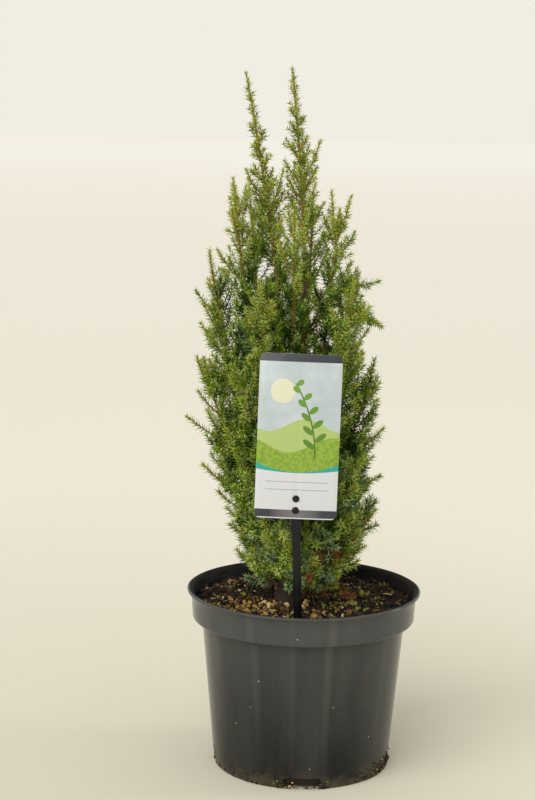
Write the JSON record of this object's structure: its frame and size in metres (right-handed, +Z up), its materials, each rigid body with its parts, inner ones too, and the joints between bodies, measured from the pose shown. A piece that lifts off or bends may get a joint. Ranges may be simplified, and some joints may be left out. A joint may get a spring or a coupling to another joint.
{
  "type": "potted compact common juniper",
  "caption": "Narrow dwarf common juniper with a forked tip, dense with short needled shoots, standing in a round dark nursery pot of compost with a plain plant label.",
  "frame": {"origin": "middle of the pot's flat underside, at the level of the floor", "axes": "+Z up, -Y towards the side that the label faces, +X to the right of someone who reads the label"},
  "size_m": [0.19, 0.19, 0.562],
  "materials": {
    "pot": "dark grey moulded plastic, softly glossy, dusty at the foot",
    "compost": "coarse dark brown compost with ochre granules, matt",
    "bark": "thin red-brown bark, matt",
    "needles": "sharp evergreen needles, yellow-green at the tips, with a paler upper face",
    "label_card": "smooth printed card with a satin coat",
    "label_stick": "black moulded plastic, satin"
  },
  "bodies": {
    "root": {"pot": "pot", "soil": "compost", "trunk": "bark", "label_card": "label_card", "label_stick": "label_stick", "low_1_bough": "bark", "low_2_bough": "bark", "low_3_bough": "bark", "low_4_bough": "bark", "low_5_bough": "bark", "waist_1_bough": "bark", "waist_2_bough": "bark", "waist_3_bough": "bark", "waist_4_bough": "bark", "waist_5_bough": "bark", "waist_6_bough": "bark", "shoulder_1_bough": "bark", "shoulder_2_bough": "bark", "shoulder_3_bough": "bark", "shoulder_4_bough": "bark", "shoulder_5_bough": "bark", "neck_1_bough": "bark", "neck_2_bough": "bark", "neck_3_bough": "bark", "neck_4_bough": "bark", "neck_5_bough": "bark", "left_leader_bough": "bark", "foot_1_foliage": "needles", "foot_2_foliage": "needles", "foot_3_foliage": "needles", "foot_4_foliage": "needles", "foot_5_foliage": "needles", "skirt_1_foliage": "needles", "skirt_2_foliage": "needles", "skirt_3_foliage": "needles", "skirt_4_foliage": "needles", "skirt_5_foliage": "needles", "low_1_foliage": "needles", "low_2_foliage": "needles", "low_3_foliage": "needles", "low_4_foliage": "needles", "low_5_foliage": "needles", "waist_1_foliage": "needles", "waist_2_foliage": "needles", "waist_3_foliage": "needles", "waist_4_foliage": "needles", "waist_5_foliage": "needles", "waist_6_foliage": "needles", "shoulder_1_foliage": "needles", "shoulder_2_foliage": "needles", "shoulder_3_foliage": "needles", "shoulder_4_foliage": "needles", "shoulder_5_foliage": "needles", "neck_1_foliage": "needles", "neck_2_foliage": "needles", "neck_3_foliage": "needles", "neck_4_foliage": "needles", "neck_5_foliage": "needles", "left_leader_foliage": "needles", "right_leader_foliage": "needles"}
  },
  "joints": []
}
